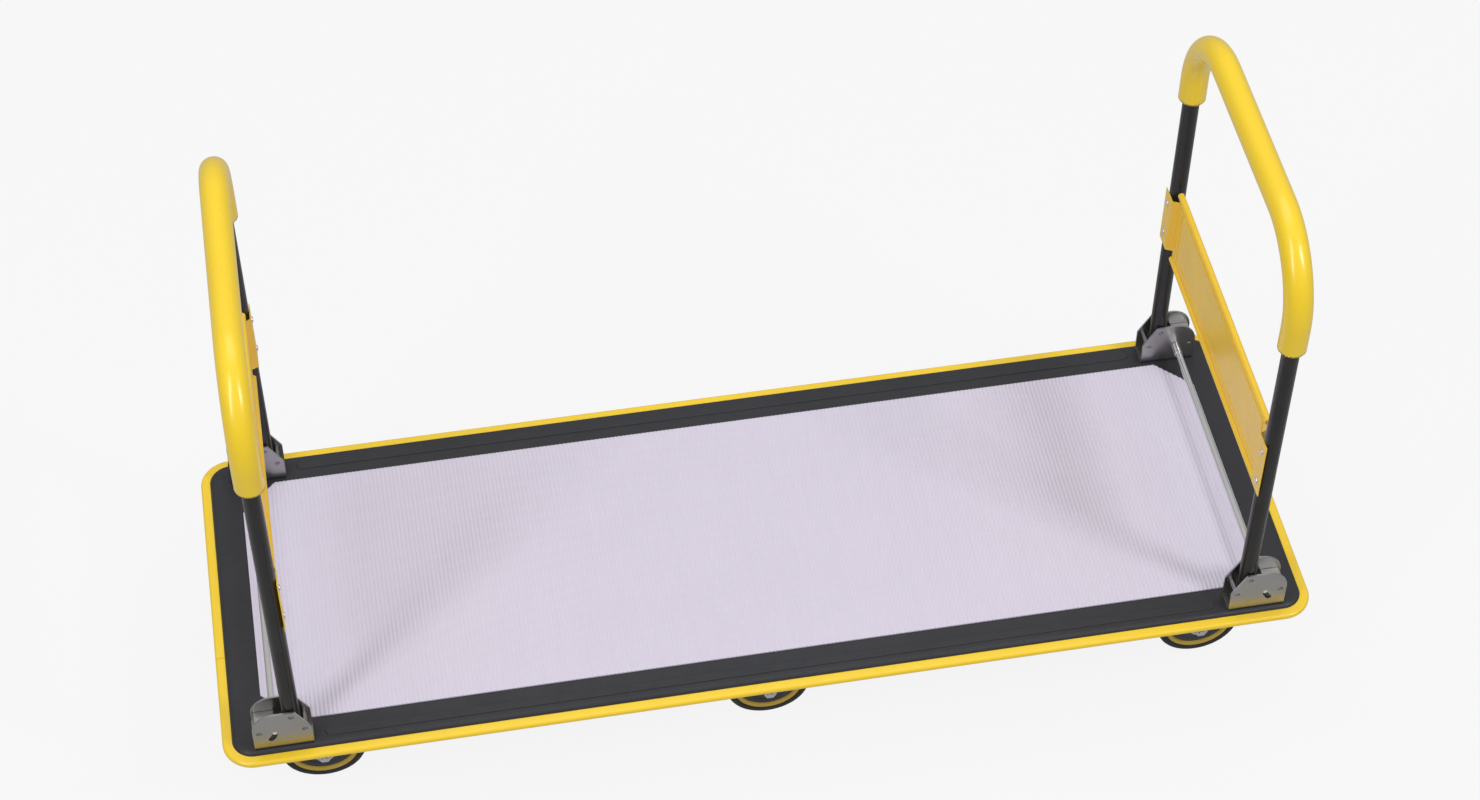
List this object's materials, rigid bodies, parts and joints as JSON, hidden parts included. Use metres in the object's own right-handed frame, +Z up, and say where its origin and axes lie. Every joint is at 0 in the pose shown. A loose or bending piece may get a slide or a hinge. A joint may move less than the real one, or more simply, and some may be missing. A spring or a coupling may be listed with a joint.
{
  "type": "folding platform cart",
  "caption": "Long steel platform cart on caster wheels with a ribbed mat, edge bumper and a fold-down U handle with cross panel at each end.",
  "frame": {"origin": "on the ground under the middle of the deck, the bottom centre of the bounding box", "axes": "+X along the cart towards the right handle, +Y across it towards the back side, +Z up"},
  "size_m": [1.631, 0.584, 0.9399],
  "materials": {
    "deck_paint": "fine textured satin powder coat, charcoal",
    "mat_vinyl": "matt ribbed vinyl, pale lavender grey",
    "bumper_yellow": "satin moulded plastic, yellow",
    "member_paint": "satin powder coat, charcoal",
    "bracket_zinc": "bright zinc plate, fine brushed",
    "pin_steel": "turned steel, satin",
    "spring_steel": "drawn spring wire",
    "fastener_zinc": "bright zinc plate",
    "rod_chrome": "bright chrome plate",
    "collar_chrome": "turned and chrome plated",
    "tube_black": "gloss black enamel",
    "sleeve_yellow": "smooth soft vinyl foam skin, semi-gloss yellow",
    "panel_yellow": "semi-gloss enamel, yellow",
    "rivet_steel": "bright domed rivet",
    "caster_zinc": "bright zinc plate",
    "tyre_rubber": "matt black solid rubber",
    "core_yellow": "moulded plastic, yellow",
    "cover_dark": "moulded plastic, dark grey"
  },
  "bodies": {
    "platform": {"deck_plate": "deck_paint", "deck_mat": "mat_vinyl", "edge_bumper": "bumper_yellow", "cross_member_left": "member_paint", "cross_member_middle": "member_paint", "cross_member_right": "member_paint", "handle_bracket_left_front": "bracket_zinc", "handle_bracket_left_back": "bracket_zinc", "handle_bracket_right_front": "bracket_zinc", "handle_bracket_right_back": "bracket_zinc", "bracket_pins": "pin_steel", "rod_springs": "spring_steel", "bracket_bolts": "fastener_zinc", "swivel_plate_left_front": "caster_zinc", "swivel_plate_left_back": "caster_zinc", "swivel_plate_right_front": "caster_zinc", "swivel_plate_right_back": "caster_zinc", "rigid_forks": "caster_zinc", "rigid_axles": "fastener_zinc", "caster_bolts": "fastener_zinc"},
    "handle_left": {"handle_tube_left": "tube_black", "handle_sleeve_left": "sleeve_yellow", "handle_panel_left": "panel_yellow", "handle_rivets_left": "rivet_steel"},
    "rod_left": {"release_rod_left": "rod_chrome", "rod_collars_left": "collar_chrome", "release_levers_left": "bracket_zinc"},
    "swivel_left_front": {"swivel_fork_left_front": "caster_zinc", "swivel_axle_left_front": "fastener_zinc"},
    "wheel_left_front": {"wheel_tyre_left_front": "tyre_rubber", "wheel_core_left_front": "core_yellow", "wheel_covers_left_front": "cover_dark"},
    "swivel_left_back": {"swivel_fork_left_back": "caster_zinc", "swivel_axle_left_back": "fastener_zinc"},
    "wheel_left_back": {"wheel_tyre_left_back": "tyre_rubber", "wheel_core_left_back": "core_yellow", "wheel_covers_left_back": "cover_dark"},
    "handle_right": {"handle_tube_right": "tube_black", "handle_sleeve_right": "sleeve_yellow", "handle_panel_right": "panel_yellow", "handle_rivets_right": "rivet_steel"},
    "rod_right": {"release_rod_right": "rod_chrome", "rod_collars_right": "collar_chrome", "release_levers_right": "bracket_zinc"},
    "swivel_right_front": {"swivel_fork_right_front": "caster_zinc", "swivel_axle_right_front": "fastener_zinc"},
    "wheel_right_front": {"wheel_tyre_right_front": "tyre_rubber", "wheel_core_right_front": "core_yellow", "wheel_covers_right_front": "cover_dark"},
    "swivel_right_back": {"swivel_fork_right_back": "caster_zinc", "swivel_axle_right_back": "fastener_zinc"},
    "wheel_right_back": {"wheel_tyre_right_back": "tyre_rubber", "wheel_core_right_back": "core_yellow", "wheel_covers_right_back": "cover_dark"},
    "wheel_middle_front": {"wheel_tyre_middle_front": "tyre_rubber", "wheel_core_middle_front": "core_yellow", "wheel_covers_middle_front": "cover_dark"},
    "wheel_middle_back": {"wheel_tyre_middle_back": "tyre_rubber", "wheel_core_middle_back": "core_yellow", "wheel_covers_middle_back": "cover_dark"}
  },
  "joints": [
    {"name": "handle_fold_left", "type": "hinge", "parent": "platform", "child": "handle_left", "pos_m": [-0.71, 0, 0.266], "axis": [0, 1, 0], "range_deg": [0, 90]},
    {"name": "rod_press_left", "type": "hinge", "parent": "platform", "child": "rod_left", "pos_m": [-0.759, 0, 0.237], "axis": [0, 1, 0], "range_deg": [0, 38], "stiffness_Nm_per_rad": 0.6, "springref_deg": -28.65},
    {"name": "swivel_turn_left_front", "type": "hinge", "parent": "platform", "child": "swivel_left_front", "pos_m": [-0.6405, -0.176, 0.15], "axis": [0, 0, 1], "continuous": true},
    {"name": "wheel_spin_left_front", "type": "hinge", "parent": "swivel_left_front", "child": "wheel_left_front", "pos_m": [-0.676, -0.176, 0.0635], "axis": [0, 1, 0], "continuous": true},
    {"name": "swivel_turn_left_back", "type": "hinge", "parent": "platform", "child": "swivel_left_back", "pos_m": [-0.6405, 0.176, 0.15], "axis": [0, 0, 1], "continuous": true},
    {"name": "wheel_spin_left_back", "type": "hinge", "parent": "swivel_left_back", "child": "wheel_left_back", "pos_m": [-0.676, 0.176, 0.0635], "axis": [0, 1, 0], "continuous": true},
    {"name": "handle_fold_right", "type": "hinge", "parent": "platform", "child": "handle_right", "pos_m": [0.71, 0, 0.266], "axis": [0, -1, 0], "range_deg": [0, 90]},
    {"name": "rod_press_right", "type": "hinge", "parent": "platform", "child": "rod_right", "pos_m": [0.759, 0, 0.237], "axis": [0, -1, 0], "range_deg": [0, 38], "stiffness_Nm_per_rad": 0.6, "springref_deg": -28.65},
    {"name": "swivel_turn_right_front", "type": "hinge", "parent": "platform", "child": "swivel_right_front", "pos_m": [0.6405, -0.176, 0.15], "axis": [0, 0, 1], "continuous": true},
    {"name": "wheel_spin_right_front", "type": "hinge", "parent": "swivel_right_front", "child": "wheel_right_front", "pos_m": [0.676, -0.176, 0.0635], "axis": [0, 1, 0], "continuous": true},
    {"name": "swivel_turn_right_back", "type": "hinge", "parent": "platform", "child": "swivel_right_back", "pos_m": [0.6405, 0.176, 0.15], "axis": [0, 0, 1], "continuous": true},
    {"name": "wheel_spin_right_back", "type": "hinge", "parent": "swivel_right_back", "child": "wheel_right_back", "pos_m": [0.676, 0.176, 0.0635], "axis": [0, 1, 0], "continuous": true},
    {"name": "wheel_spin_middle_front", "type": "hinge", "parent": "platform", "child": "wheel_middle_front", "pos_m": [0, -0.176, 0.0635], "axis": [0, 1, 0], "continuous": true},
    {"name": "wheel_spin_middle_back", "type": "hinge", "parent": "platform", "child": "wheel_middle_back", "pos_m": [0, 0.176, 0.0635], "axis": [0, 1, 0], "continuous": true}
  ]
}
